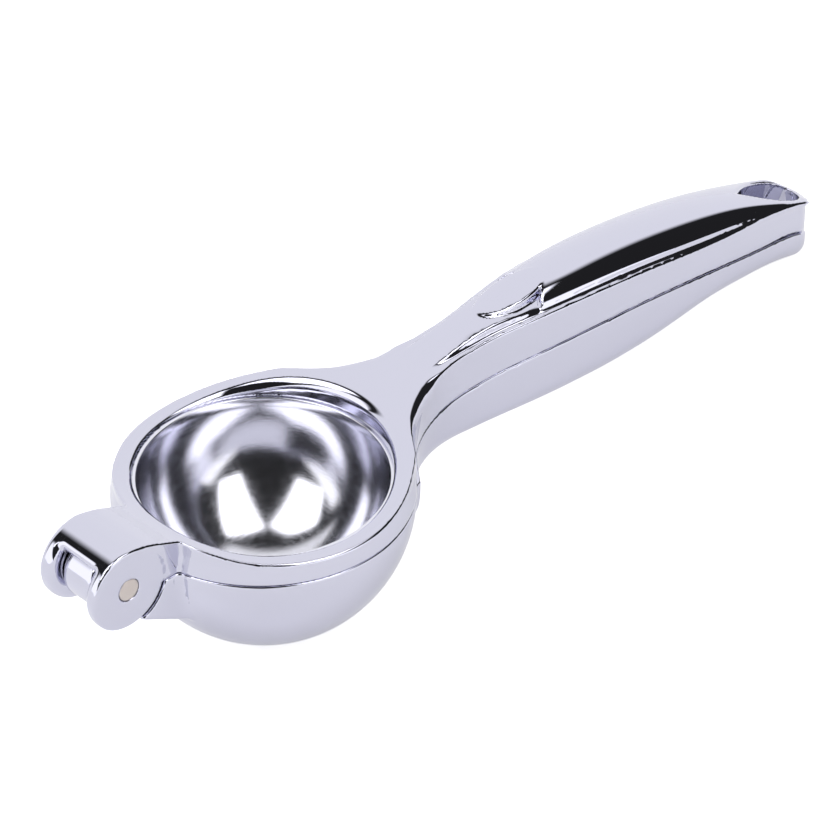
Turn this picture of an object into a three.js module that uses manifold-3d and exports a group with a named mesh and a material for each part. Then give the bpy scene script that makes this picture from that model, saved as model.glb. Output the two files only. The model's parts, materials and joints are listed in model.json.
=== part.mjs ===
// A hand-held citrus squeezer: two die-cast arms hinged at the front, a pressed steel dish in the upper
// ring, a drained cup in the lower ring, and two long handles that close on each other.
//
// The pieces are drawn in the ring frame (millimetres): the ring's axis is Z through the origin, the top
// of the ring is at z = 0, the handles run towards +X and the hinge is at -X. The group at the end leans
// them down by REST_LEAN, so that the foot under the cup and the tip of the lower handle both stand on
// z = 0, and puts the origin under the middle of the whole.
import * as THREE from "three";
import { mergeVertices } from "three/addons/utils/BufferGeometryUtils.js";
import Module from "manifold-3d";

const wasm = await Module();
wasm.setup();

// ---------------------------------------------------------------- driving dimensions, mm
const GAP = 0.3; // clearance between pieces that touch
const RING_OUTER = 33;
const RING_BORE = 28.2;
const SEAM_Z = -4.7; // where the upper ring meets the lower one
const DISH_SEAT_Z = -1.5; // underside of the ring's step, which bears on the dish's flange
const SEAT_BORE = 29.8;

const DISH_FLANGE = 29.4;
const DISH_RADIUS = 27.5;
const DISH_DEPTH = 26.7;
const DISH_SHEET = 0.9;

const CUP_RADIUS = 33.2;
const CUP_DEPTH = 34; // below the seam
const CUP_WALL = 2.5;
const CUP_FLOOR = 2.9;
const DRAIN_HOLE = 1.6; // radius
const DRAIN_RINGS = [
  { radius: 5.4, count: 6 },
  { radius: 11.5, count: 12 },
];
const FOOT_DEPTH = 32.7; // from the cup's rim down to the flat foot

const PIN_X = -45.7;
const PIN_Z = -1.6;
const PIN_RADIUS = 2.6;
const EAR_RADIUS = 9.7;
const EAR_HALF_WIDTH = 8.7; // over both ears
const SLOT_HALF_WIDTH = 5.3; // between the ears
const KNUCKLE_RADIUS = 7.2;
const WASHER_RADIUS = 6.2;
const WASHER_THICK = 0.6;
const EAR_RELIEF = 10.5; // radius of the lower arm's hollow around each ear
const WEB_EDGE_ANGLE = THREE.MathUtils.degToRad(133); // where the web over the knuckle ends

const NECK_FILLET = 36; // radius in plan between the ring and the neck
const NECK_HALF_WIDTH = 6.4;
const HANDLE_END_X = 171.6; // the end is a half circle in plan
const HANDLE_WALL = 2.3; // wall of the hollow handles
const CHANNEL_START_X = 62;
const CHANNEL_END_X = 141;
const HANDLE_END_RADIUS = 6.9;
const HOLE_START_X = 150.3; // the tip of the drop-shaped hole
const HOLE_HALF_WIDTH = 5.1;

const THUMB_PAD = { x: 74.5, length: 21, width: 9.5, rise: 0.4 };

const ROUND_STEPS = 48; // sides of the big turned shapes
const BEYOND = 60; // how far a cutter runs past the pieces

// ---------------------------------------------------------------- materials
const chrome = (name, shade) =>
  new THREE.MeshStandardMaterial({ name, color: shade, roughness: 0.08, metalness: 1 });
const upperChrome = chrome("upper_chrome", 0xd2d2e0);
const lowerChrome = chrome("lower_chrome", 0xc6c6d6);
const satinSteel = new THREE.MeshStandardMaterial({
  name: "satin_steel",
  color: 0xb9bac4,
  roughness: 0.28,
  metalness: 1,
});
const pinSteel = new THREE.MeshStandardMaterial({
  name: "pin_steel",
  color: 0xc9c2be,
  roughness: 0.4,
  metalness: 1,
});
const washerSteel = new THREE.MeshStandardMaterial({
  name: "washer_steel",
  color: 0xaeb0b6,
  roughness: 0.45,
  metalness: 1,
});

// ---------------------------------------------------------------- solids
function solid(geometry) {
  const bare = geometry.clone();
  bare.deleteAttribute("normal");
  bare.deleteAttribute("uv");
  const merged = mergeVertices(bare, 1e-4);
  return new wasm.Manifold(
    new wasm.Mesh({
      numProp: 3,
      vertProperties: merged.attributes.position.array,
      triVerts: new Uint32Array(merged.index.array),
    }),
  );
}

function namedMesh(name, body, material) {
  const made = body.getMesh();
  const geometry = new THREE.BufferGeometry();
  geometry.setAttribute("position", new THREE.BufferAttribute(made.vertProperties, 3));
  geometry.setIndex(new THREE.BufferAttribute(made.triVerts, 1));
  geometry.computeVertexNormals();
  const mesh = new THREE.Mesh(geometry, material);
  mesh.name = name;
  return mesh;
}

// A plan outline (x, y) raised from one height to another.
function planPrism(shape, low, high, curveSegments = 16) {
  const geometry = new THREE.ExtrudeGeometry(shape, {
    depth: high - low,
    bevelEnabled: false,
    curveSegments,
  });
  return solid(geometry.translate(0, 0, low));
}

// A side outline (x, z) spread across y, from -halfWidth to halfWidth.
function sidePrism(shape, halfWidth, curveSegments = 16) {
  const geometry = new THREE.ExtrudeGeometry(shape, {
    depth: 2 * halfWidth,
    bevelEnabled: false,
    curveSegments,
  });
  return solid(geometry.rotateX(Math.PI / 2).translate(0, halfWidth, 0));
}

const turned = (points) => solid(new THREE.LatheGeometry(points, ROUND_STEPS).rotateX(Math.PI / 2));

function crossRod(x, z, radius, halfLength, steps = 32) {
  return solid(new THREE.CylinderGeometry(radius, radius, 2 * halfLength, steps).translate(x, 0, z));
}

// Closed skin through equal rings of points, with a flat cap at each end.
function loft(rings) {
  const count = rings[0].length;
  const positions = rings.flat().flatMap((p) => [p.x, p.y, p.z]);
  const index = [];
  for (let r = 0; r + 1 < rings.length; r++) {
    for (let i = 0; i < count; i++) {
      const a = r * count + i;
      const b = r * count + ((i + 1) % count);
      index.push(a, b, a + count, b, b + count, a + count);
    }
  }
  const flat = (ring) => THREE.ShapeUtils.triangulateShape(ring.map((p) => new THREE.Vector2(p.y, p.z)), []);
  for (const [a, b, c] of flat(rings[0])) index.push(a, c, b);
  const last = (rings.length - 1) * count;
  for (const [a, b, c] of flat(rings.at(-1))) index.push(last + a, last + b, last + c);
  const geometry = new THREE.BufferGeometry();
  geometry.setAttribute("position", new THREE.Float32BufferAttribute(positions, 3));
  geometry.setIndex(index);
  return solid(geometry);
}

// ---------------------------------------------------------------- curves along the handles
// A smooth height or width over x through a few points.
function along(points) {
  const curve = new THREE.SplineCurve(points.map(([x, v]) => new THREE.Vector2(x, v)));
  const samples = curve.getPoints(12 * points.length);
  return (x) => {
    const i = samples.findIndex((p) => p.x >= x);
    if (i < 0) return samples.at(-1).y;
    if (i === 0) return samples[0].y;
    const t = (x - samples[i - 1].x) / (samples[i].x - samples[i - 1].x);
    return THREE.MathUtils.lerp(samples[i - 1].y, samples[i].y, t);
  };
}

const filletCentreY = NECK_HALF_WIDTH + NECK_FILLET;
const filletCentreX = Math.sqrt((RING_OUTER + NECK_FILLET) ** 2 - filletCentreY ** 2);
const filletTurn = Math.atan2(filletCentreY, filletCentreX);

const END_CENTRE_X = HANDLE_END_X - HANDLE_END_RADIUS;
const widthPastNeck = along([
  [54, 6.4],
  [76, 8.7],
  [108, 10.5],
  [136, 9.8],
  [153, 8.1],
  [END_CENTRE_X, HANDLE_END_RADIUS],
]);
function halfWidth(x) {
  if (x < filletCentreX) return filletCentreY - Math.sqrt(NECK_FILLET ** 2 - (filletCentreX - x) ** 2);
  if (x < END_CENTRE_X) return widthPastNeck(x);
  return Math.sqrt(HANDLE_END_RADIUS ** 2 - (x - END_CENTRE_X) ** 2);
}
const seamHeight = along([
  [34, SEAM_Z],
  [51, -4.1],
  [76, -2.8],
  [108, -3.8],
  [136, -7.7],
  [153, -11.2],
  [165, -14],
  [172, -17.4],
]);
const wallTop = along([
  [30, 5],
  [51, 6.3],
  [74, 7.2],
  [102, 5.7],
  [127, 2],
  [142, -0.7],
  [153, -2.9],
  [165, -5.9],
  [172, -8.6],
]);
const crown = along([
  [40, 0.9],
  [60, 2.2],
  [80, 4.4],
  [110, 5.5],
  [138, 4.8],
  [152, 3.2],
  [165, 1.1],
  [172, 0.4],
]);
const ledge = along([
  [40, 0.3],
  [54, 1.4],
  [90, 1.8],
  [125, 1.2],
  [145, 0.4],
  [172, 0.1],
]);
const belly = along([
  [40, -15.5],
  [54, -17.3],
  [76, -18.8],
  [115, -19.2],
  [133, -18.2],
  [148, -19.4],
  [165, -22.4],
  [172, -25],
]);

const DOME_STEPS = 12;
const stations = (from, to, step) => {
  const count = Math.max(1, Math.round((to - from) / step));
  return Array.from({ length: count + 1 }, (_, i) => from + ((to - from) * i) / count);
};
const END_TURNS = [0, 18, 36, 54, 70, 82];
const handleStations = (from) => [
  ...stations(from, END_CENTRE_X, 4.5).slice(0, -1),
  ...END_TURNS.map((turn) => END_CENTRE_X + HANDLE_END_RADIUS * Math.sin(THREE.MathUtils.degToRad(turn))),
];

function upperHandleRing(x) {
  const b = halfWidth(x);
  const base = seamHeight(x) + GAP / 2;
  const shoulder = wallTop(x);
  const inner = b - Math.min(ledge(x), b / 3);
  const ring = [
    new THREE.Vector3(x, -b, base),
    new THREE.Vector3(x, b, base),
    new THREE.Vector3(x, b, shoulder),
  ];
  for (let i = 0; i <= DOME_STEPS; i++) {
    const a = (Math.PI * i) / DOME_STEPS;
    ring.push(new THREE.Vector3(x, inner * Math.cos(a), shoulder + crown(x) * Math.sin(a)));
  }
  ring.push(new THREE.Vector3(x, -b, shoulder));
  return ring;
}

function lowerHandleRing(x) {
  const b = halfWidth(x);
  const low = belly(x);
  const round = Math.min(0.7 * b, 0.6 * (seamHeight(x) - low));
  const ring = [];
  for (let i = 0; i <= DOME_STEPS; i++) {
    const a = (Math.PI * i) / DOME_STEPS;
    ring.push(new THREE.Vector3(x, -b * Math.cos(a), low + round - round * Math.sin(a)));
  }
  ring.push(new THREE.Vector3(x, b, seamHeight(x) - GAP / 2));
  ring.push(new THREE.Vector3(x, -b, seamHeight(x) - GAP / 2));
  return ring;
}

// ---------------------------------------------------------------- outlines
// The plan of both arms: ring, neck and tongue.
function armPlan(neckEnd) {
  const shape = new THREE.Shape();
  const tongueAngle = Math.asin(EAR_HALF_WIDTH / RING_OUTER);
  shape.moveTo(PIN_X - EAR_RADIUS - 1, -EAR_HALF_WIDTH);
  shape.lineTo(-RING_OUTER * Math.cos(tongueAngle), -EAR_HALF_WIDTH);
  shape.absarc(0, 0, RING_OUTER, Math.PI + tongueAngle, 2 * Math.PI - filletTurn, false);
  shape.absarc(filletCentreX, -filletCentreY, NECK_FILLET, Math.PI - filletTurn, Math.PI / 2, true);
  shape.lineTo(neckEnd, -NECK_HALF_WIDTH);
  shape.lineTo(neckEnd, NECK_HALF_WIDTH);
  shape.lineTo(filletCentreX, NECK_HALF_WIDTH);
  shape.absarc(filletCentreX, filletCentreY, NECK_FILLET, -Math.PI / 2, Math.PI + filletTurn, true);
  shape.absarc(0, 0, RING_OUTER, filletTurn, Math.PI - tongueAngle, false);
  shape.lineTo(PIN_X - EAR_RADIUS - 1, EAR_HALF_WIDTH);
  return shape;
}

// The ring's top dips in the middle and climbs to the hinge and to the neck.
const ringTop = (x) => -0.1 + 1.7 * (x / 34) + 4.2 * (x / 34) ** 2;

const NECK_JOIN_X = 48; // the flat-sided ring and neck end here, inside the handle
const BRIDGE_START_X = 41;
const LOWER_HANDLE_START_X = 26.5; // inside the cup's wall
const HUMP_START_X = -24; // the tongue climbs from here to the top of the ears
const HUMP_BEND = { x: -30.5, z: 1.9 };

function upperSide() {
  const shape = new THREE.Shape();
  const tangent = Math.PI / 2 - 0.3;
  shape.moveTo(NECK_JOIN_X, wallTop(NECK_JOIN_X));
  for (const x of stations(38, HUMP_START_X, 6)) shape.lineTo(x, x > 31 ? wallTop(x) : ringTop(x));
  shape.quadraticCurveTo(
    HUMP_BEND.x,
    HUMP_BEND.z,
    PIN_X + EAR_RADIUS * Math.cos(tangent),
    PIN_Z + EAR_RADIUS * Math.sin(tangent),
  );
  const seamMeets = Math.asin((SEAM_Z + GAP / 2 - PIN_Z) / EAR_RADIUS);
  shape.absarc(PIN_X, PIN_Z, EAR_RADIUS, tangent, 2 * Math.PI + seamMeets, false);
  for (const x of stations(34, NECK_JOIN_X, 2)) shape.lineTo(x, seamHeight(x) + GAP / 2);
  return shape;
}

function lowerSide() {
  const shape = new THREE.Shape();
  const top = SEAM_Z - GAP / 2;
  const from = Math.asin((top - PIN_Z) / EAR_RELIEF);
  shape.moveTo(PIN_X + EAR_RELIEF * Math.cos(from), top);
  shape.absarc(PIN_X, PIN_Z, EAR_RELIEF, from, -1.4, true);
  shape.lineTo(-33.7, -16.7);
  shape.lineTo(-24, -20);
  shape.lineTo(-24, top);
  return shape;
}

function knuckleSide() {
  const shape = new THREE.Shape();
  shape.moveTo(-30, SEAM_Z - GAP / 2);
  shape.lineTo(PIN_X + KNUCKLE_RADIUS, SEAM_Z - GAP / 2);
  shape.absarc(PIN_X, PIN_Z, KNUCKLE_RADIUS, -0.45, -1.9, false);
  shape.lineTo(PIN_X + 1.8, PIN_Z - 9.6);
  shape.lineTo(-30, -16.7);
  return shape;
}

function holePlan() {
  const shape = new THREE.Shape();
  const bendX = (HOLE_START_X + END_CENTRE_X) / 2;
  shape.moveTo(HOLE_START_X, 0);
  shape.quadraticCurveTo(bendX, -HOLE_HALF_WIDTH, END_CENTRE_X, -HOLE_HALF_WIDTH);
  shape.absarc(END_CENTRE_X, 0, HOLE_HALF_WIDTH, -Math.PI / 2, Math.PI / 2, false);
  shape.quadraticCurveTo(bendX, HOLE_HALF_WIDTH, HOLE_START_X, 0);
  return shape;
}

// ---------------------------------------------------------------- shared cutters
const hangHole = planPrism(holePlan(), -BEYOND, BEYOND, 8);
const pinBore = crossRod(PIN_X, PIN_Z, PIN_RADIUS + GAP, BEYOND);

function channel(low, high) {
  const rings = stations(CHANNEL_START_X, CHANNEL_END_X, 8).map((x) => {
    const b = halfWidth(x) - HANDLE_WALL;
    return [
      new THREE.Vector3(x, -b, low(x)),
      new THREE.Vector3(x, b, low(x)),
      new THREE.Vector3(x, b, high(x)),
      new THREE.Vector3(x, -b, high(x)),
    ];
  });
  return loft(rings);
}

// ---------------------------------------------------------------- upper arm
function upperArm() {
  const slab = planPrism(armPlan(NECK_JOIN_X), -BEYOND, BEYOND, 20).intersect(sidePrism(upperSide(), BEYOND, 20));
  const handle = loft(handleStations(BRIDGE_START_X).map(upperHandleRing));
  const { x, length, width, rise } = THUMB_PAD;
  const thick = width / 3;
  const pad = solid(new THREE.SphereGeometry(1, 20, 12).rotateX(Math.PI / 2))
    .scale([length / 2, width / 2, thick])
    .translate([x, 0, wallTop(x) + crown(x) + rise - thick]);

  const bore = turned([
    new THREE.Vector2(0, DISH_SEAT_Z),
    new THREE.Vector2(RING_BORE, DISH_SEAT_Z),
    new THREE.Vector2(RING_BORE, BEYOND),
    new THREE.Vector2(0, BEYOND),
  ]);
  const seat = turned([
    new THREE.Vector2(0, -BEYOND),
    new THREE.Vector2(SEAT_BORE, -BEYOND),
    new THREE.Vector2(SEAT_BORE, DISH_SEAT_Z),
    new THREE.Vector2(0, DISH_SEAT_Z),
  ]);
  const slotEnd = PIN_X - BEYOND;
  const slot = new THREE.Shape();
  const reach = KNUCKLE_RADIUS + GAP;
  const under = SEAM_Z + GAP / 2;
  slot.moveTo(slotEnd, PIN_Z + BEYOND * Math.tan(Math.PI - WEB_EDGE_ANGLE));
  slot.lineTo(PIN_X + reach * Math.cos(WEB_EDGE_ANGLE), PIN_Z + reach * Math.sin(WEB_EDGE_ANGLE));
  slot.absarc(PIN_X, PIN_Z, reach, WEB_EDGE_ANGLE, Math.asin((under - PIN_Z) / reach), true);
  slot.lineTo(-RING_BORE, under);
  slot.lineTo(-RING_BORE, -BEYOND);
  slot.lineTo(slotEnd, -BEYOND);

  return slab
    .add(handle)
    .add(pad)
    .subtract(bore)
    .subtract(seat)
    .subtract(sidePrism(slot, SLOT_HALF_WIDTH))
    .subtract(pinBore)
    .subtract(channel((at) => seamHeight(at) - 5, (at) => wallTop(at) - 0.5))
    .subtract(hangHole);
}

// ---------------------------------------------------------------- press dish
// A pressed sheet: a flange under the ring's step, then a deep bowl.
function pressDish() {
  const top = DISH_SEAT_Z - GAP;
  const steps = 10;
  const outer = [];
  const inner = [];
  for (let i = 1; i < steps; i++) {
    const a = (Math.PI / 2) * (i / steps);
    outer.push(
      new THREE.Vector2(
        (DISH_RADIUS + DISH_SHEET) * Math.cos(a),
        top - DISH_SHEET - DISH_DEPTH * Math.sin(a),
      ),
    );
    inner.push(new THREE.Vector2(DISH_RADIUS * Math.cos(a), top - DISH_DEPTH * Math.sin(a)));
  }
  return turned([
    new THREE.Vector2(0, top - DISH_SHEET - DISH_DEPTH),
    ...outer.reverse(),
    new THREE.Vector2(DISH_RADIUS + DISH_SHEET, top - DISH_SHEET),
    new THREE.Vector2(DISH_FLANGE, top - DISH_SHEET),
    new THREE.Vector2(DISH_FLANGE, top),
    new THREE.Vector2(DISH_RADIUS, top),
    ...inner,
    new THREE.Vector2(0, top - DISH_DEPTH),
  ]);
}

// ---------------------------------------------------------------- lower arm
function cupProfile(radius, depth, rim) {
  const steps = 12;
  const points = [];
  for (let i = 0; i <= steps; i++) {
    const a = (Math.PI / 2) * (i / steps);
    points.push(new THREE.Vector2(Math.max(0, radius * Math.sin(a)), rim - depth * Math.cos(a)));
  }
  return points;
}

function lowerArm() {
  const rim = SEAM_Z - GAP / 2;
  const cup = turned([...cupProfile(CUP_RADIUS, CUP_DEPTH, rim), new THREE.Vector2(0, rim)]);
  const hollow = turned([
    ...cupProfile(CUP_RADIUS - CUP_WALL, CUP_DEPTH - CUP_FLOOR, rim),
    new THREE.Vector2(CUP_RADIUS - CUP_WALL, BEYOND),
    new THREE.Vector2(0, BEYOND),
  ]);
  const tongue = sidePrism(lowerSide(), EAR_HALF_WIDTH, 20);
  const knuckle = sidePrism(knuckleSide(), SLOT_HALF_WIDTH - WASHER_THICK - 2 * GAP, 20);
  const handle = loft(handleStations(LOWER_HANDLE_START_X).map(lowerHandleRing));

  const drains = DRAIN_RINGS.flatMap(({ radius, count }) =>
    Array.from({ length: count }, (_, i) => {
      const a = (2 * Math.PI * (i + 0.5)) / count;
      return solid(new THREE.CylinderGeometry(DRAIN_HOLE, DRAIN_HOLE, 24, 10).rotateX(Math.PI / 2)).translate([
        radius * Math.cos(a),
        radius * Math.sin(a),
        rim - CUP_DEPTH,
      ]);
    }),
  );
  const drained = drains.reduce(
    (body, drain) => body.subtract(drain),
    cup.add(tongue).add(knuckle).add(handle).subtract(hollow),
  );
  return drained
    .subtract(pinBore)
    .subtract(channel((at) => belly(at) + 3.4, (at) => seamHeight(at) + 5))
    .subtract(hangHole)
    .subtract(underFloor());
}

// ---------------------------------------------------------------- stance
// The handle's tip and the foot under the cup stand on one plane.
const tipX = HANDLE_END_X - 1.3;
const tipDrop = SEAM_Z - belly(tipX);
const REST_LEAN = Math.asin(FOOT_DEPTH / Math.hypot(tipX, tipDrop)) - Math.atan2(tipDrop, tipX);
const footCentre = new THREE.Vector3(
  FOOT_DEPTH * Math.sin(REST_LEAN),
  0,
  SEAM_Z - FOOT_DEPTH * Math.cos(REST_LEAN),
);

// Everything below the surface that the squeezer stands on.
function underFloor() {
  const floor = new THREE.Shape();
  const slope = Math.tan(REST_LEAN);
  const [from, to] = [-BEYOND, HANDLE_END_X + BEYOND];
  floor.moveTo(from, footCentre.z + (from - footCentre.x) * slope);
  floor.lineTo(from, footCentre.z - BEYOND);
  floor.lineTo(to, footCentre.z - BEYOND);
  floor.lineTo(to, footCentre.z + (to - footCentre.x) * slope);
  return sidePrism(floor, BEYOND);
}

// ---------------------------------------------------------------- hinge pieces
const hingePin = () => crossRod(PIN_X, PIN_Z, PIN_RADIUS, EAR_HALF_WIDTH);

function hingeWasher(side) {
  const middle = side * (SLOT_HALF_WIDTH - GAP - WASHER_THICK / 2);
  const disc = crossRod(PIN_X, PIN_Z, WASHER_RADIUS, WASHER_THICK / 2);
  return disc.translate([0, middle, 0]).subtract(pinBore);
}

// ---------------------------------------------------------------- assembly
const arms = new THREE.Group();
arms.add(
  namedMesh("upper_arm", upperArm(), upperChrome),
  namedMesh("press_dish", pressDish(), satinSteel),
  namedMesh("lower_arm", lowerArm(), lowerChrome),
  namedMesh("hinge_pin", hingePin(), pinSteel),
  namedMesh("hinge_washer_near", hingeWasher(-1), washerSteel),
  namedMesh("hinge_washer_far", hingeWasher(1), washerSteel),
);
arms.rotation.y = REST_LEAN;

const squeezer = new THREE.Group();
squeezer.add(arms);
const extent = new THREE.Box3().setFromObject(squeezer, true);
arms.position.set(-(extent.min.x + extent.max.x) / 2, 0, -extent.min.z);

export default squeezer;
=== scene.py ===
"""A chrome-plated citrus squeezer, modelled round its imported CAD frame.

The two castings are drawn as rounded distance fields in the ring frame (millimetres: the ring's axis is Z
through the origin, its top is near z = 0, the handles run towards +X, the hinge is at -X) and meshed from
them, so that every edge has its cast radius. The turned pieces are lathed. RING_TO_ROW carries the ring
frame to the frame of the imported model.
"""

import json
import math

import bmesh
import bpy
import numpy as np
from mathutils import Matrix, Vector


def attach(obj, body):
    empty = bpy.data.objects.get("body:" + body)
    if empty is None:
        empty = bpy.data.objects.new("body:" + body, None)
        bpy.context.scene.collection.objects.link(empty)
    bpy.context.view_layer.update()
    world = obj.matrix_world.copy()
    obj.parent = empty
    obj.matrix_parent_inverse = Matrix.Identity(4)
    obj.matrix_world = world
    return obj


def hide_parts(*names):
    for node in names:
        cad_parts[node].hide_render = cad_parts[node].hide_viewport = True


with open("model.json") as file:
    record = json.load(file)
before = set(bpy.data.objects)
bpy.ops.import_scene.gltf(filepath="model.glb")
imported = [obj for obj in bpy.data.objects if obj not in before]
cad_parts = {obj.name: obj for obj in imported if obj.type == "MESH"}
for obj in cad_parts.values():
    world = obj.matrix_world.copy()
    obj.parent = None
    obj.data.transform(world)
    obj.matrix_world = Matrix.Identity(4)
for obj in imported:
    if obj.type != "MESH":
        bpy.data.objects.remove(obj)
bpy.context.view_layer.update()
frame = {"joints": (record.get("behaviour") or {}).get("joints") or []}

# ------------------------------------------------------------------ driving dimensions
# Lengths are in mm, in the ring frame.
MM = 0.001
SEAM_GAP = 0.34  # dark line between the two arms
SEAM_WIDENING = 0.25
SEAM_Z = -4.7
RING_OUTER_TOP = 32.5
RING_OUTER_SEAM = 33.3
RING_AT_NECK = 33.0
RING_BORE = 28.2
DISH_SEAT_Z = -0.8
SEAT_BORE = 29.8
SEAT_GAP = 0.1

DISH_FLANGE = 29.4
DISH_RADIUS = 27.5
DISH_DEPTH = 27.3
DISH_SHEET = 0.9

CUP_RADIUS = 33.2
CUP_DEPTH = 34.0
CUP_WALL = 2.5
CUP_FLOOR_EXTRA = 0.4
DRAIN_HOLE = 1.6
DRAIN_RINGS = ((5.4, 6), (11.5, 12))
DRAIN_TOP_Z = -24.0
FOOT_DEPTH = 32.7

PIN_X, PIN_Z = -45.7, -1.6
PIN_RADIUS = 2.6
PIN_CHAMFER = 0.25
PIN_HOLE_GAP, PIN_HOLE_EDGE = 0.12, 0.18
EAR_RADIUS = 9.7
EAR_HALF_WIDTH = 8.7
SLOT_HALF_WIDTH = 5.3
KNUCKLE_RADIUS = 7.2
KNUCKLE_HALF_WIDTH = 4.1
WASHER_RADIUS = 6.2
WASHER_THICK = 0.6
WASHER_EDGE = 0.12
WASHER_GAP = 0.3  # between a washer and the ear beside it
WASHER_BORE = PIN_RADIUS + 0.15
KNUCKLE_GAP = 0.3
EAR_RELIEF = 10.5
TONGUE_START_X, TONGUE_START_Z = 1.9, -9.4  # from the pin
TONGUE_RUN, TONGUE_DROP = 10.1, 5.7
TONGUE_END_X = -10.0
KNUCKLE_ARM_START_X, KNUCKLE_ARM_END_X = PIN_X + 1.8, -26.0
WEB_EDGE_ANGLE = math.radians(133)

NECK_FILLET = 36.0
NECK_HALF_WIDTH = 6.4
HANDLE_ROOT_X = 12.0
END_CENTRE_X = 164.7
UPPER_END_RADIUS, LOWER_END_RADIUS = 6.9, 7.2
HANDLE_WALL, HANDLE_ROOF, HANDLE_FLOOR = 2.3, 0.5, 3.4
CHANNEL_START_X, CHANNEL_END_X, CHANNEL_CORNER = 62.0, 141.0, 4.0
HOLE_START_X = 150.3
HOLE_HALF_WIDTH = 5.1
PAD_X, PAD_HALF_LENGTH, PAD_HALF_WIDTH = 74.5, 10.5, 4.7
PAD_CURVE = 0.025  # how fast the pad falls away from its middle line
SCOOP_END_X, SCOOP_END_SLANT, SCOOP_OVERLAP = 84.5, 1.0, 5.0
SHOULDER_RISE = 1.3
DOME_START_X, DOME_FULL_X = 38.0, 44.0
DOME_END_GAP, DOME_END_EDGE = 0.8, 3.0

# Roundings of the castings' edges.
CAST_EDGE = 0.55
NECK_EDGE_GROWTH = 2.4
SEAM_EDGE_UPPER, SEAM_EDGE_LOWER = 0.35, 0.45
LIP_EDGE, LIP_EDGE_GROWTH = 1.5, 0.5
SLOT_EDGE, SLOT_EDGE_GROWTH = 0.5, 1.3
HOLE_EDGE_UPPER, HOLE_EDGE_LOWER = 0.8, 0.5
CHANNEL_EDGE = 0.4
CUP_FILLET = 3.0

# The voxels that the castings are meshed from, a coarse quick one and the finer ones for a picture.
QUICK_VOXEL, UPPER_VOXEL, LOWER_VOXEL = 0.8, 0.5, 0.62
FAR_OUTSIDE = 9.0  # a distance that no rounding reaches

REST_LEAN = math.radians(4.4584)  # how far the ring leans when the foot and the handle's tip both stand

hinge = next(j for j in frame["joints"] if j["name"] == "arm_hinge")
lean = Matrix.Rotation(REST_LEAN, 4, "Y")
pin_in_ring = Vector((PIN_X, 0, PIN_Z)) * MM
RING_TO_ROW = Matrix.Translation(Vector(hinge["pos_m"]) - lean @ pin_in_ring) @ lean


# ------------------------------------------------------------------ distance-field kit
def both(a, b, radius):
    """Where a and b overlap, with their meeting edge rounded."""
    corner = np.hypot(np.maximum(a + radius, 0), np.maximum(b + radius, 0))
    return np.minimum(np.maximum(a, b), -radius) + corner


def either(a, b, radius):
    """a and b together, with a fillet where they meet."""
    return -both(-a, -b, radius)


def without(a, b, radius):
    """a with b cut away, its edge rounded."""
    return both(a, -b, radius)


def along(*points):
    """A smooth line through (x, value) points: x gives the value and its slope."""
    places, values = np.array(points, float).T
    count, gaps = len(places), np.diff(places)
    rows, totals = np.eye(count), np.zeros(count)
    for i in range(1, count - 1):
        rows[i, i - 1 : i + 2] = gaps[i - 1], 2 * (gaps[i - 1] + gaps[i]), gaps[i]
        totals[i] = 6 * ((values[i + 1] - values[i]) / gaps[i] - (values[i] - values[i - 1]) / gaps[i - 1])
    bend = np.linalg.solve(rows, totals)

    def at(x):
        x = np.clip(x, places[0], places[-1])
        i = np.clip(np.searchsorted(places, x, side="right") - 1, 0, count - 2)
        run, gap = x - places[i], gaps[i]
        first = (values[i + 1] - values[i]) / gap - gap * (2 * bend[i] + bend[i + 1]) / 6
        third = (bend[i + 1] - bend[i]) / gap
        value = values[i] + run * (first + run * (bend[i] / 2 + run * third / 6))
        return value, first + run * (bend[i] + run * third / 2)

    return at


def above(line, x, z):
    """Distance of z above a line over x."""
    height, slope = line(x)
    return (z - height) / np.sqrt(1 + slope**2)


def ramp(x, start, end):
    """0 before start, 1 after end, smooth between."""
    t = np.clip((x - start) / (end - start), 0, 1)
    return t * t * (3 - 2 * t)


# ------------------------------------------------------------------ lines along the arms
# Heights over x: the upper arm's top edge, the seam, the underside and how far the dome stands over the
# top edge. Then the ledge beside the dome and the handle's half width.
top_line = along(
    (-45.7, 8.1), (-41, 7.3), (-36.8, 5.7), (-31.4, 3.3), (-25, 1.2), (-14, 0.1), (0, -0.1), (17, 1.8),
    (30, 4.7), (40, 5.9), (51, 6.4), (74, 7.2), (102, 5.7), (127, 2), (142, -0.7), (153, -2.9), (165, -5.9),
    (172, -8.6),
)
seam_line = along(
    (20, SEAM_Z), (34, SEAM_Z), (51, -4.1), (76, -2.8), (108, -3.8), (136, -7.7), (153, -11.2), (165, -14),
    (172, -17.4),
)
belly_line = along(
    (26, -14.5), (40, -15.7), (54, -17.3), (76, -18.8), (115, -19.2), (133, -18.2), (148, -19.4),
    (165, -22.4), (172, -25),
)
crown_line = along(
    (38, -1), (46, 0.2), (60, 2.2), (80, 4.4), (110, 5.5), (138, 4.8), (152, 3.2), (165, 1.1), (172, 0.4),
)
ledge_line = along((40, 1.6), (54, 1.7), (90, 1.6), (125, 1.2), (145, 0.5), (158, 0), (172, 0))
width_line = along(
    (54.4, NECK_HALF_WIDTH), (62, 6.8), (76, 8.7), (108, 10.5), (136, 9.8), (153, 8.1),
    (END_CENTRE_X, UPPER_END_RADIUS),
)

FILLET_Y = NECK_HALF_WIDTH + NECK_FILLET
FILLET_X = math.sqrt((RING_AT_NECK + NECK_FILLET) ** 2 - FILLET_Y**2)
FILLET_REACH = math.hypot(FILLET_X, FILLET_Y)


def seam_gap(x):
    """The line between the two arms widens a little towards the handles' end."""
    return SEAM_GAP + SEAM_WIDENING * ramp(x, 70, 140)


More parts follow.
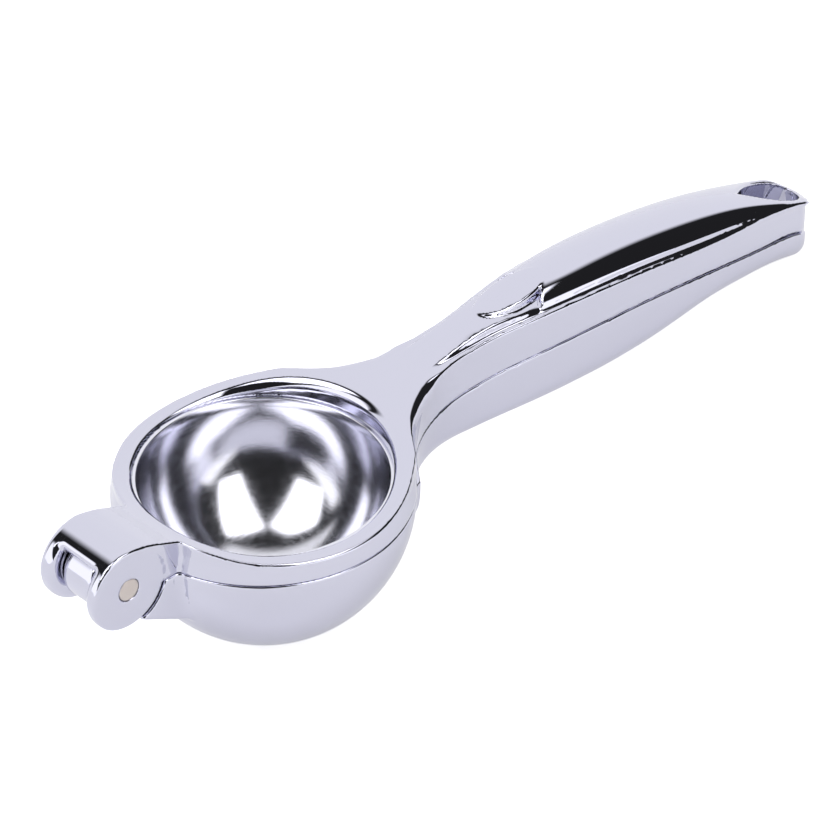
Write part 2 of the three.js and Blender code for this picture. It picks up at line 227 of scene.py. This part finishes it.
def handle_plan(x, u):
    """Distance outside the neck and handle's plan, u being how far out from the middle plane."""
    width, slope = width_line(x)
    strip = (u - width) / np.sqrt(1 + slope**2)
    fillet = NECK_FILLET - np.hypot(x - FILLET_X, u - FILLET_Y)
    return np.where(x > FILLET_X, strip, fillet)


def beside_neck(x, u):
    """Positive on the ring's side of the line where the neck's fillet begins."""
    return (FILLET_X * u - FILLET_Y * x) / FILLET_REACH


def hanging_hole(x, u):
    """Distance outside the drop-shaped hole through both handle ends."""
    back = np.clip((END_CENTRE_X - x) / (END_CENTRE_X - HOLE_START_X), 0, 1.2)
    width = HOLE_HALF_WIDTH * (1 - back**2)
    slope = 2 * HOLE_HALF_WIDTH * back / (END_CENTRE_X - HOLE_START_X)
    drop = (u - width) / np.sqrt(1 + slope**2)
    return np.where(x > END_CENTRE_X, np.hypot(x - END_CENTRE_X, u) - HOLE_HALF_WIDTH, drop)


def channel_plan(x, u):
    """Distance outside the plan of the hollow inside the handles."""
    width, _ = width_line(x)
    ends = np.maximum(CHANNEL_START_X - x, x - CHANNEL_END_X)
    return both(u - (width - HANDLE_WALL), ends, CHANNEL_CORNER)


def ellipsoid(x, y, z, centre_z, radius, depth):
    """Near-distance outside a turned ellipsoid."""
    across, up = np.hypot(x, y), z - centre_z
    value = (across / radius) ** 2 + (up / depth) ** 2 - 1
    return value / (2 * np.sqrt((across / radius**2) ** 2 + (up / depth**2) ** 2) + 1e-3)


def outside_pin_hole(x, z):
    """Distance outside the hinge pin's hole, which is cut from both arms."""
    return np.hypot(x - PIN_X, z - PIN_Z) - PIN_RADIUS - PIN_HOLE_GAP


# ------------------------------------------------------------------ the upper arm
def dome_field(x, u, z):
    """The handle's rounded back: a thumb pad between two low shoulders, and the full dome behind them."""
    top, _ = top_line(x)
    width, _ = width_line(x)
    crown, _ = crown_line(x)
    ledge, _ = ledge_line(x)
    half, lift = width - ledge, z - top
    step = 0.7 * crown * (1 - ramp(x, 60, 84))
    cap = step + (crown - step) * (1 - (u / half) ** 2)
    shoulder = SHOULDER_RISE * ramp(x, 44, 60) * (1 - ramp(x, 68, 88))
    low = np.minimum(cap, shoulder + (cap - shoulder) * (1 - 0.6 * ramp(x, 58, 74)))
    pad = (np.hypot((x - PAD_X) / PAD_HALF_LENGTH, u / PAD_HALF_WIDTH) - 1) * PAD_HALF_WIDTH
    pad = both(pad, lift - crown + PAD_CURVE * u**2, 0.5)
    front = either(both(lift - low, u - half, 0.6), pad, 0.3)
    front = np.maximum(front, x - SCOOP_END_X - SCOOP_OVERLAP)

    swell = np.maximum(crown, 0.5)
    gradient = 2 * np.hypot(u / half**2, lift / swell**2) + 1e-3
    full = ((u / half) ** 2 + (lift / swell) ** 2 - 1) / gradient
    full = both(full, x - (END_CENTRE_X + UPPER_END_RADIUS - DOME_END_GAP), DOME_END_EDGE)
    rear = (SCOOP_END_X - SCOOP_END_SLANT * u - x) / math.hypot(1, SCOOP_END_SLANT)
    before = 3 * (1 - ramp(x, DOME_START_X, DOME_FULL_X))
    return either(front, both(full, rear, 0.4), 0.3) + before


def upper_arm_field(x, y, z):
    """Near-distance outside the upper casting: ring, ears, neck and domed handle."""
    u = np.abs(y)
    base = -above(seam_line, x, z - seam_gap(x) / 2)
    radius = RING_OUTER_TOP + (RING_OUTER_SEAM - RING_OUTER_TOP) * np.clip(z / SEAM_Z, 0, 1)
    wedge = beside_neck(x, u)
    radius = RING_AT_NECK + (radius - RING_AT_NECK) * ramp(wedge, 0, 8)
    plan = np.where((x < FILLET_X) & (wedge > 0), np.hypot(x, y) - radius, handle_plan(x, u))
    plan = both(plan, x - END_CENTRE_X - UPPER_END_RADIUS, UPPER_END_RADIUS)
    tongue = np.maximum(u - EAR_HALF_WIDTH, np.maximum(PIN_X - x, x))
    plan = either(plan, tongue, 0.5)

    edge = CAST_EDGE + NECK_EDGE_GROWTH * ramp(x, 24, 34) * (1 - ramp(x, 40, 48))
    slab = both(plan, above(top_line, x, z), edge)
    groove = 0.05 + 0.85 * ramp(x, 42, 56)
    arm = either(slab, dome_field(x, u, z), groove)

    ear_reach = np.hypot(x - PIN_X, z - PIN_Z)
    ear = both(u - EAR_HALF_WIDTH, ear_reach - EAR_RADIUS, CAST_EDGE)
    arm = both(arm, base, SEAM_EDGE_UPPER)
    arm = either(np.where(x < PIN_X, FAR_OUTSIDE, arm), ear, 0.25)

    arm = without(arm, np.hypot(x, y) - RING_BORE, LIP_EDGE + LIP_EDGE_GROWTH * ramp(x, 4, 26))
    arm = without(arm, np.maximum(np.hypot(x, y) - SEAT_BORE, z - DISH_SEAT_Z), 0.2)

    ahead = (x - PIN_X) * math.sin(WEB_EDGE_ANGLE) - (z - PIN_Z) * math.cos(WEB_EDGE_ANGLE)
    under = np.maximum(z - SEAM_Z - SEAM_GAP / 2, x + RING_BORE)
    slot_side = np.minimum(np.minimum(ear_reach - KNUCKLE_RADIUS - KNUCKLE_GAP, ahead), under)
    slot_edge = SLOT_EDGE + SLOT_EDGE_GROWTH * ramp(-x, 33, 38)
    arm = without(arm, both(u - SLOT_HALF_WIDTH, slot_side, 0.7), slot_edge)
    arm = without(arm, outside_pin_hole(x, z), PIN_HOLE_EDGE)

    top, _ = top_line(x)
    roof = np.maximum(channel_plan(x, u), z - top + HANDLE_ROOF)
    arm = without(arm, roof, CHANNEL_EDGE)
    return without(arm, hanging_hole(x, u), HOLE_EDGE_UPPER)


# ------------------------------------------------------------------ the lower arm
foot_x = FOOT_DEPTH * math.sin(REST_LEAN)
foot_z = SEAM_Z - FOOT_DEPTH * math.cos(REST_LEAN)
DRAINS = [
    (radius * math.cos(turn), radius * math.sin(turn))
    for radius, count in DRAIN_RINGS
    for turn in (2 * math.pi * (i + 0.5) / count for i in range(count))
]


def lower_arm_field(x, y, z):
    """Near-distance outside the lower casting: drained cup, hinge tongue and hollow handle."""
    u = np.abs(y)
    rim = SEAM_Z - SEAM_GAP / 2
    lid = above(seam_line, x, z + seam_gap(x) / 2)
    cup = ellipsoid(x, y, z, rim, CUP_RADIUS, CUP_DEPTH)
    cup = np.where(z > rim, np.hypot(x, y) - CUP_RADIUS, cup)

    belly, _ = belly_line(x)
    width, _ = width_line(x)
    under = -above(belly_line, x, z)
    fullness = np.minimum(0.7 * width, 7.0)
    proud = LOWER_END_RADIUS - UPPER_END_RADIUS
    plan = both(handle_plan(x, u), x - END_CENTRE_X - UPPER_END_RADIUS, UPPER_END_RADIUS)
    plan = plan - proud * ramp(x, 150, 165)
    handle = both(plan, under, fullness)
    handle = np.maximum(handle, np.where(x < FILLET_X, beside_neck(x, u), -FAR_OUTSIDE))
    body = either(cup, np.maximum(handle, HANDLE_ROOT_X - x), CUP_FILLET)

    behind, below = PIN_X + TONGUE_START_X - x, PIN_Z + TONGUE_START_Z - z
    slope = (behind * TONGUE_DROP + below * TONGUE_RUN) / math.hypot(TONGUE_RUN, TONGUE_DROP)
    ear_reach = np.hypot(x - PIN_X, z - PIN_Z)
    tongue = both(u - EAR_HALF_WIDTH, slope, 0.6)
    tongue = np.maximum(without(tongue, ear_reach - EAR_RELIEF, 0.4), x - TONGUE_END_X)
    body = both(either(body, tongue, 1.0), lid, SEAM_EDGE_LOWER)

    arm_ends = np.maximum(KNUCKLE_ARM_START_X - x, x - KNUCKLE_ARM_END_X)
    arm = np.maximum(np.maximum(slope, z - rim), arm_ends)
    knuckle = either(ear_reach - KNUCKLE_RADIUS, arm, 0.6)
    body = either(body, both(u - KNUCKLE_HALF_WIDTH, knuckle, 0.6), 0.3)

    hollow = ellipsoid(x, y, z, rim, CUP_RADIUS - CUP_WALL, CUP_DEPTH - CUP_WALL - CUP_FLOOR_EXTRA)
    hollow = np.where(z > rim, np.hypot(x, y) - (CUP_RADIUS - CUP_WALL), hollow)
    body = without(body, hollow, 0.5)
    floor = (x - foot_x) * math.sin(REST_LEAN) - (z - foot_z) * math.cos(REST_LEAN)
    body = both(body, floor, 0.5)
    drains = np.full(np.broadcast(x, y, z).shape, FAR_OUTSIDE)
    for drain_x, drain_y in DRAINS:
        drains = np.minimum(drains, np.hypot(x - drain_x, y - drain_y) - DRAIN_HOLE)
    body = without(body, np.maximum(drains, z - DRAIN_TOP_Z), 0.3)

    pocket = np.maximum(channel_plan(x, u), belly + HANDLE_FLOOR - z)
    body = without(body, pocket, CHANNEL_EDGE)
    body = without(body, outside_pin_hole(x, z), PIN_HOLE_EDGE)
    return without(body, hanging_hole(x, u), HOLE_EDGE_LOWER)


# ------------------------------------------------------------------ meshing
HALVINGS = 10  # of a voxel's edge, to find where the surface crosses it
SLOPE_REACH = 0.03
CENTRE_PULL = 0.05  # draws a cell's point towards the middle of its crossings where they lie in one plane


def smooth_object(name, verts, faces, normals=None):
    """A smooth-shaded object from points in the ring frame, in mm."""
    turn = np.array(RING_TO_ROW.to_3x3())
    mesh = bpy.data.meshes.new(name)
    placed = np.asarray(verts) * MM @ turn.T + np.array(RING_TO_ROW.translation)
    mesh.from_pydata(placed.tolist(), [], np.asarray(faces).tolist())
    mesh.polygons.foreach_set("use_smooth", [True] * len(mesh.polygons))
    if normals is not None:
        mesh.normals_split_custom_set_from_vertices((normals @ turn.T).tolist())
    mesh.update()
    obj = bpy.data.objects.new(name, mesh)
    bpy.context.collection.objects.link(obj)
    return obj


def slope_of(field, points):
    """The direction of the field's gradient at points."""
    parts = [field(*(points + step).T) - field(*(points - step).T) for step in np.eye(3) * SLOPE_REACH]
    slope = np.stack(parts, axis=1)
    return slope / (np.linalg.norm(slope, axis=1, keepdims=True) + 1e-12)


def crossing(field, start, axis, length, starts_inside):
    """Where the surface crosses the grid edges that leave points start along an axis."""
    near, far = np.zeros(len(start)), np.full(len(start), length)
    for _ in range(HALVINGS):
        middle = (near + far) / 2
        point = start.copy()
        point[:, axis] += middle
        beyond = (field(*point.T) < 0) != starts_inside
        near, far = np.where(beyond, near, middle), np.where(beyond, middle, far)
    return point


def mesh_of(name, field, low, high, voxel):
    """Dual contouring: a grid cell that the surface crosses gets a point where its tangent planes meet."""
    axes = [np.arange(lo, hi + voxel, voxel) for lo, hi in zip(low, high)]
    solid = field(axes[0][:, None, None], axes[1][None, :, None], axes[2][None, None, :]) < 0
    grid = np.arange(solid.size).reshape(solid.shape)
    rings, points, slopes = [], [], []
    for a in range(3):
        b, c = (a + 1) % 3, (a + 2) % 3
        near = np.moveaxis(solid, (a, b, c), (0, 1, 2))
        ids = np.moveaxis(grid, (a, b, c), (0, 1, 2))
        change = near[:-1, 1:-1, 1:-1].astype(np.int8) - near[1:, 1:-1, 1:-1]
        i, j, k = np.nonzero(change)
        start = np.empty((len(i), 3))
        for direction, place in ((a, i), (b, j + 1), (c, k + 1)):
            start[:, direction] = axes[direction][place]
        inside = change[i, j, k] > 0
        point = crossing(field, start, a, voxel, inside)
        ring = np.stack([ids[i, j, k], ids[i, j + 1, k], ids[i, j + 1, k + 1], ids[i, j, k + 1]], axis=1)
        rings.append(np.where(inside[:, None], ring, ring[:, ::-1]))
        points.append(point)
        slopes.append(slope_of(field, point))
    cells, faces = np.unique(np.concatenate(rings), return_inverse=True)
    faces = faces.reshape(-1, 4)

    def gather(amount):
        """Adds up an amount of each crossing over the four cells round its edge."""
        return np.bincount(faces.ravel(), np.repeat(amount, 4), len(cells))

    point, slope = np.concatenate(points), np.concatenate(slopes)
    count = gather(np.ones(len(faces)))
    mean = np.stack([gather(point[:, a]) / count for a in range(3)], axis=1)
    normal = np.stack([gather(slope[:, a]) for a in range(3)], axis=1)
    reach = (slope * point).sum(axis=1)
    planes = np.stack([[gather(slope[:, a] * slope[:, b]) for b in range(3)] for a in range(3)])
    planes = np.moveaxis(planes, 2, 0)
    pull = np.stack([gather(slope[:, a] * reach) for a in range(3)], axis=1)
    pull -= np.einsum("nab,nb->na", planes, mean)
    shift = np.linalg.solve(planes + CENTRE_PULL * np.eye(3), pull[:, :, None])[:, :, 0]
    places = np.unravel_index(cells, solid.shape)
    corner = np.stack([axes[a][place] for a, place in enumerate(places)], axis=1)
    verts = np.clip(mean + shift, corner, corner + voxel)
    normal /= np.linalg.norm(normal, axis=1, keepdims=True) + 1e-12
    return smooth_object(name, verts, faces, normal)


def ring_axis(r, turn, z):
    """Points round the ring's axis."""
    return np.stack([r * np.cos(turn), r * np.sin(turn), z], axis=-1)


def pin_axis(r, turn, y):
    """Points round the hinge pin's axis."""
    return np.stack([PIN_X + r * np.sin(turn), y, PIN_Z + r * np.cos(turn)], axis=-1)


def lathe(name, profile, axis=ring_axis, steps=192):
    """A turned skin through a closed profile of (radius, place along the axis), anticlockwise."""
    turn = 2 * np.pi * np.arange(steps) / steps
    r, along_axis = np.array(profile).T
    count = len(profile)
    verts = axis(r[None, :], turn[:, None], np.broadcast_to(along_axis, (steps, count))).reshape(-1, 3)
    step, i = [grid.ravel() for grid in np.meshgrid(np.arange(steps), np.arange(count), indexing="ij")]
    here, after = step * count, (step + 1) % steps * count
    following = (i + 1) % count
    faces = np.stack([here + i, after + i, after + following, here + following], axis=1)
    obj = smooth_object(name, verts, faces)
    shape = bmesh.new()
    shape.from_mesh(obj.data)
    bmesh.ops.remove_doubles(shape, verts=shape.verts, dist=1e-7)
    bmesh.ops.dissolve_degenerate(shape, edges=shape.edges, dist=1e-7)
    shape.to_mesh(obj.data)
    shape.free()
    return obj


def arc(centre_r, centre_z, radius, start, end, steps=6):
    """Points of a fillet in a lathe's profile, angles in degrees from the outward direction."""
    turns = np.radians(np.linspace(start, end, steps))
    return [(centre_r + radius * math.cos(t), centre_z + radius * math.sin(t)) for t in turns]


# ------------------------------------------------------------------ castings
# Each is meshed in a box a little larger than itself, given by its low and high corners.
upper_voxel = UPPER_VOXEL
upper_low, upper_high = (-56.6, -34.6, -20.4), (173, 34.6, 13.5)
upper = mesh_of("upper_casting", upper_arm_field, upper_low, upper_high, upper_voxel)
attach(upper, "upper")
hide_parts("upper_arm")

lower_voxel = LOWER_VOXEL
lower_low, lower_high = (-54.2, -34.6, -39.2), (173.3, 34.6, 6.6)
lower = mesh_of("lower_casting", lower_arm_field, lower_low, lower_high, lower_voxel)
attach(lower, "lower")
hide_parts("lower_arm")


# ------------------------------------------------------------------ press dish, pin and washers
def dish_profile():
    """The pressed sheet from the middle of its underside round the flange to the middle of the bowl."""
    top = DISH_SEAT_Z - SEAT_GAP
    fine = np.radians(np.linspace(0, 90, 61))
    lip, roll = 0.3, 0.3
    outer_radius = DISH_RADIUS + DISH_SHEET
    outer = [(outer_radius * math.sin(t), top - DISH_SHEET - DISH_DEPTH * math.cos(t)) for t in fine[:-2]]
    inner = [(DISH_RADIUS * math.cos(t), top - DISH_DEPTH * math.sin(t)) for t in fine[3:]]
    return [
        *outer,
        (outer_radius + 0.1, top - DISH_SHEET),
        *arc(DISH_FLANGE - lip, top - DISH_SHEET + lip, lip, -90, 0),
        *arc(DISH_FLANGE - lip, top - lip, lip, 0, 90),
        *arc(DISH_RADIUS + roll - 0.05, top - roll, roll, 90, 170),
        *inner,
    ]


dish = lathe("press_bowl", dish_profile())
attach(dish, "upper")
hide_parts("press_dish")

pin = lathe(
    "pin",
    [
        (0, -EAR_HALF_WIDTH),
        (PIN_RADIUS - 2 * PIN_CHAMFER, -EAR_HALF_WIDTH),
        *arc(PIN_RADIUS - PIN_CHAMFER, PIN_CHAMFER - EAR_HALF_WIDTH, PIN_CHAMFER, -90, 0),
        *arc(PIN_RADIUS - PIN_CHAMFER, EAR_HALF_WIDTH - PIN_CHAMFER, PIN_CHAMFER, 0, 90),
        (PIN_RADIUS - 2 * PIN_CHAMFER, EAR_HALF_WIDTH),
        (0, EAR_HALF_WIDTH),
    ],
    pin_axis,
    64,
)
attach(pin, "upper")
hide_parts("hinge_pin")

washers = []
for label, side in (("near", -1), ("far", 1)):
    half, edge = WASHER_THICK / 2, WASHER_EDGE
    middle = side * (SLOT_HALF_WIDTH - WASHER_GAP - half)
    washer = lathe(
        "washer_" + label,
        [
            *arc(WASHER_BORE + edge, middle + half - edge, edge, 90, 180, 4),
            *arc(WASHER_BORE + edge, middle - half + edge, edge, 180, 270, 4),
            *arc(WASHER_RADIUS - edge, middle - half + edge, edge, -90, 0, 4),
            *arc(WASHER_RADIUS - edge, middle + half - edge, edge, 0, 90, 4),
        ],
        pin_axis,
        96,
    )
    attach(washer, "upper")
    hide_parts("hinge_washer_" + label)
    washers.append(washer)


# ------------------------------------------------------------------ node kit
def node(tree, kind, inputs=(), **settings):
    """Adds a shader node; an input is a number, a colour or another node's output."""
    made = tree.nodes.new("ShaderNode" + kind)
    for key, value in settings.items():
        setattr(made, key, value)
    for key, value in dict(inputs).items():
        if isinstance(value, bpy.types.NodeSocket):
            tree.links.new(value, made.inputs[key])
        else:
            made.inputs[key].default_value = value
    return made.outputs[0] if made.outputs else None


def calc(tree, operation, a, b):
    """One step of arithmetic on two numbers or sockets."""
    return node(tree, "Math", {0: a, 1: b}, operation=operation)


def dot(tree, vector, fixed):
    """How far a vector socket points along a fixed direction."""
    made = tree.nodes.new("ShaderNodeVectorMath")
    made.operation = "DOT_PRODUCT"
    tree.links.new(vector, made.inputs[0])
    made.inputs[1].default_value = fixed
    return made.outputs["Value"]


def step_up(tree, value, low, high, to_low=0.0, to_high=1.0):
    """A smooth step from to_low, at low, to to_high, at high."""
    inputs = {"Value": value, "From Min": low, "From Max": high, "To Min": to_low, "To Max": to_high}
    return node(tree, "MapRange", inputs, interpolation_type="SMOOTHSTEP")


# ------------------------------------------------------------------ camera
CAMERA_AZIMUTH, CAMERA_ELEVATION = math.radians(-44), math.radians(37.474)
CAMERA_ROLL = math.radians(0.057)
CAMERA_DISTANCE = 935.0
CAMERA_LENS = 183.33
CAMERA_TARGET = Vector((36.97, -10.26, 0.0))
level, climb = math.cos(CAMERA_ELEVATION), math.sin(CAMERA_ELEVATION)
back = Vector((math.sin(CAMERA_AZIMUTH) * level, -math.cos(CAMERA_AZIMUTH) * level, climb))
right = Vector((math.cos(CAMERA_AZIMUTH), math.sin(CAMERA_AZIMUTH), 0))
view_turn = Matrix((right, back.cross(right), back)).transposed().to_4x4()
eye = Matrix.Translation((CAMERA_TARGET + back * CAMERA_DISTANCE) * MM)
lens = bpy.data.cameras.new("camera")
lens.lens = CAMERA_LENS
lens.clip_start, lens.clip_end = 0.01, 50
camera = bpy.data.objects.new("camera", lens)
bpy.context.collection.objects.link(camera)
camera.matrix_world = RING_TO_ROW @ eye @ view_turn @ Matrix.Rotation(CAMERA_ROLL, 4, "Z")
scene = bpy.context.scene
scene.camera = camera
scene.view_settings.view_transform = "Standard"

# ------------------------------------------------------------------ studio
# The light is painted by direction: a white sweep behind the object, two soft boxes overhead, a strip of
# light at either side, white below the floor's level and a dark room around them all. "ahead" and "across"
# are a direction's place on a ceiling one unit up, towards the camera and to its right. The camera itself
# sees plain white all round.
TOWARDS_CAMERA = Vector((back.x, back.y, 0)).normalized()
TO_THE_RIGHT = right
DARK = 0.02
SWEEP = 1.06
BOX = 2.5
STRIP = 1.5
# Where each light fades, as (from, to) on the ceiling.
SWEEP_EDGE, SWEEP_SIDE, SWEEP_SIDE_SLANT = (-0.62, -0.38), (0.15, 0.45), 0.6
LEFT_BOX_REAR = (-0.28, -0.16)
RIGHT_STRIP_SIDE, RIGHT_STRIP_REAR = (1.5, 1.8), (0.6, 0.9)
LEFT_STRIP_SIDE, LEFT_STRIP_REAR = (-1.5, -1.2), (-0.3, 0.1)
LOWEST_RISE = 0.02  # keeps the ceiling's furthest places finite
world = bpy.data.worlds.new("studio")
scene.world = world
world.use_nodes = True
sky = world.node_tree
sky.nodes.clear()
node(sky, "TexCoord")
towards = sky.nodes[-1].outputs["Generated"]
up = dot(sky, towards, (0, 0, 1))
lift = calc(sky, "MAXIMUM", up, LOWEST_RISE)
ahead = calc(sky, "DIVIDE", dot(sky, towards, TOWARDS_CAMERA), lift)
across = calc(sky, "DIVIDE", dot(sky, towards, TO_THE_RIGHT), lift)


def soft_box(centre, turn, length, width, softness):
    """A rectangle of light on the ceiling plane, with soft edges: length and width are (from, to)."""
    a = calc(sky, "SUBTRACT", ahead, centre[0])
    c = calc(sky, "SUBTRACT", across, centre[1])
    cosine, sine = math.cos(turn), math.sin(turn)
    u = calc(sky, "ADD", calc(sky, "MULTIPLY", a, cosine), calc(sky, "MULTIPLY", c, sine))
    v = calc(sky, "SUBTRACT", calc(sky, "MULTIPLY", c, cosine), calc(sky, "MULTIPLY", a, sine))
    mask = step_up(sky, up, LOWEST_RISE, 0.06)
    for value, (low, high) in ((u, length), (v, width)):
        mask = calc(sky, "MULTIPLY", mask, step_up(sky, value, low - softness, low + softness))
        mask = calc(sky, "MULTIPLY", mask, step_up(sky, value, high - softness, high + softness, 1, 0))
    return mask


right_box = soft_box(
    centre=(0.55, 0.65), turn=math.radians(28.6), length=(-0.8, 0.65), width=(-0.25, 0.45), softness=0.06
)
left_box = soft_box(
    centre=(0.0, 0.0), turn=math.radians(-36), length=(0.0, 1.2), width=(-0.8, 0.0), softness=0.08
)
left_box = calc(sky, "MULTIPLY", left_box, step_up(sky, ahead, *LEFT_BOX_REAR))
sweep = calc(sky, "MULTIPLY", step_up(sky, ahead, *SWEEP_EDGE, 1, 0), SWEEP)
beside = calc(sky, "ADD", across, calc(sky, "MULTIPLY", ahead, SWEEP_SIDE_SLANT))
sweep = calc(sky, "MULTIPLY", sweep, step_up(sky, beside, *SWEEP_SIDE, 1, 0))
right_side = step_up(sky, across, *RIGHT_STRIP_SIDE)
right_strip = calc(sky, "MULTIPLY", right_side, step_up(sky, ahead, *RIGHT_STRIP_REAR))
left_side = step_up(sky, across, *LEFT_STRIP_SIDE, 1, 0)
left_strip = calc(sky, "MULTIPLY", left_side, step_up(sky, ahead, *LEFT_STRIP_REAR))
side_strips = calc(sky, "MAXIMUM", right_strip, left_strip)
ground = step_up(sky, up, -0.004, 0.004, 1, 0)
light = calc(sky, "MAXIMUM", sweep, ground)
for shape, strength in ((right_box, BOX), (left_box, BOX), (side_strips, STRIP)):
    light = calc(sky, "MAXIMUM", light, calc(sky, "MULTIPLY", shape, strength))
light = calc(sky, "MAXIMUM", light, DARK)
path = sky.nodes.new("ShaderNodeLightPath")
seen = calc(sky, "MAXIMUM", light, path.outputs["Is Camera Ray"])
background = node(sky, "Background", {"Color": (1, 1, 1, 1), "Strength": seen})
node(sky, "OutputWorld", {"Surface": background})


# ------------------------------------------------------------------ floor
# White paper that glows a little, and more to the camera than to the chrome.
FLOOR_HALF = 3.0
PAPER_GLOW, PAPER_GLOW_SEEN = 0.25, 0.7
floor_mesh = bpy.data.meshes.new("floor")
corners = [(x * FLOOR_HALF, y * FLOOR_HALF, 0) for x, y in ((-1, -1), (1, -1), (1, 1), (-1, 1))]
floor_mesh.from_pydata(corners, [], [(0, 1, 2, 3)])
floor = bpy.data.objects.new("floor", floor_mesh)
bpy.context.collection.objects.link(floor)
paper = bpy.data.materials.new("white_paper")
paper.use_nodes = True
paper.node_tree.nodes.clear()
seen_directly = node(paper.node_tree, "LightPath")
paper_shader = node(
    paper.node_tree,
    "BsdfPrincipled",
    {
        "Base Color": (0.8, 0.8, 0.8, 1),
        "Roughness": 0.9,
        "Specular IOR Level": 0.1,
        "Emission Color": (1, 1, 1, 1),
        "Emission Strength": step_up(paper.node_tree, seen_directly, 0, 1, PAPER_GLOW, PAPER_GLOW_SEEN),
    },
)
node(paper.node_tree, "OutputMaterial", {"Surface": paper_shader})
floor_mesh.materials.append(paper)


# ------------------------------------------------------------------ materials
RELIEF_HEIGHT = 0.0001  # metres


def metal(name, colour, roughness, roughness_swing, grain, bump, stretch=(1, 1, 1)):
    """A metal whose roughness drifts with a noise of grain per metre, with a fine relief over it."""
    made = bpy.data.materials.new(name)
    made.use_nodes = True
    tree = made.node_tree
    tree.nodes.clear()
    node(tree, "TexCoord")
    place = tree.nodes[-1].outputs["Object"]
    place = node(tree, "Mapping", {"Vector": place, "Scale": stretch})
    noise = node(tree, "TexNoise", {"Vector": place, "Scale": grain, "Detail": 6.0, "Roughness": 0.6})
    gloss = step_up(tree, noise, 0.3, 0.7, roughness - roughness_swing, roughness + roughness_swing)
    relief = node(tree, "Bump", {"Height": noise, "Strength": bump, "Distance": RELIEF_HEIGHT})
    shader = node(
        tree,
        "BsdfPrincipled",
        {"Base Color": (*colour, 1), "Metallic": 1.0, "Roughness": gloss, "Normal": relief},
    )
    node(tree, "OutputMaterial", {"Surface": shader})
    return made


chrome = metal("polished_chrome", (0.624, 0.624, 0.735), 0.035, 0.015, 300.0, 0.02)
satin = metal("satin_steel", (0.74, 0.74, 0.82), 0.15, 0.03, 500.0, 0.1, (1, 1, 6))
warm = metal("pin_steel", (0.62, 0.56, 0.53), 0.35, 0.06, 900.0, 0.3)
plain = metal("washer_steel", (0.5, 0.5, 0.55), 0.3, 0.08, 700.0, 0.2)
for piece, finish in ((upper, chrome), (lower, chrome), (dish, satin), (pin, warm)):
    piece.data.materials.append(finish)
for washer in washers:
    washer.data.materials.append(plain)
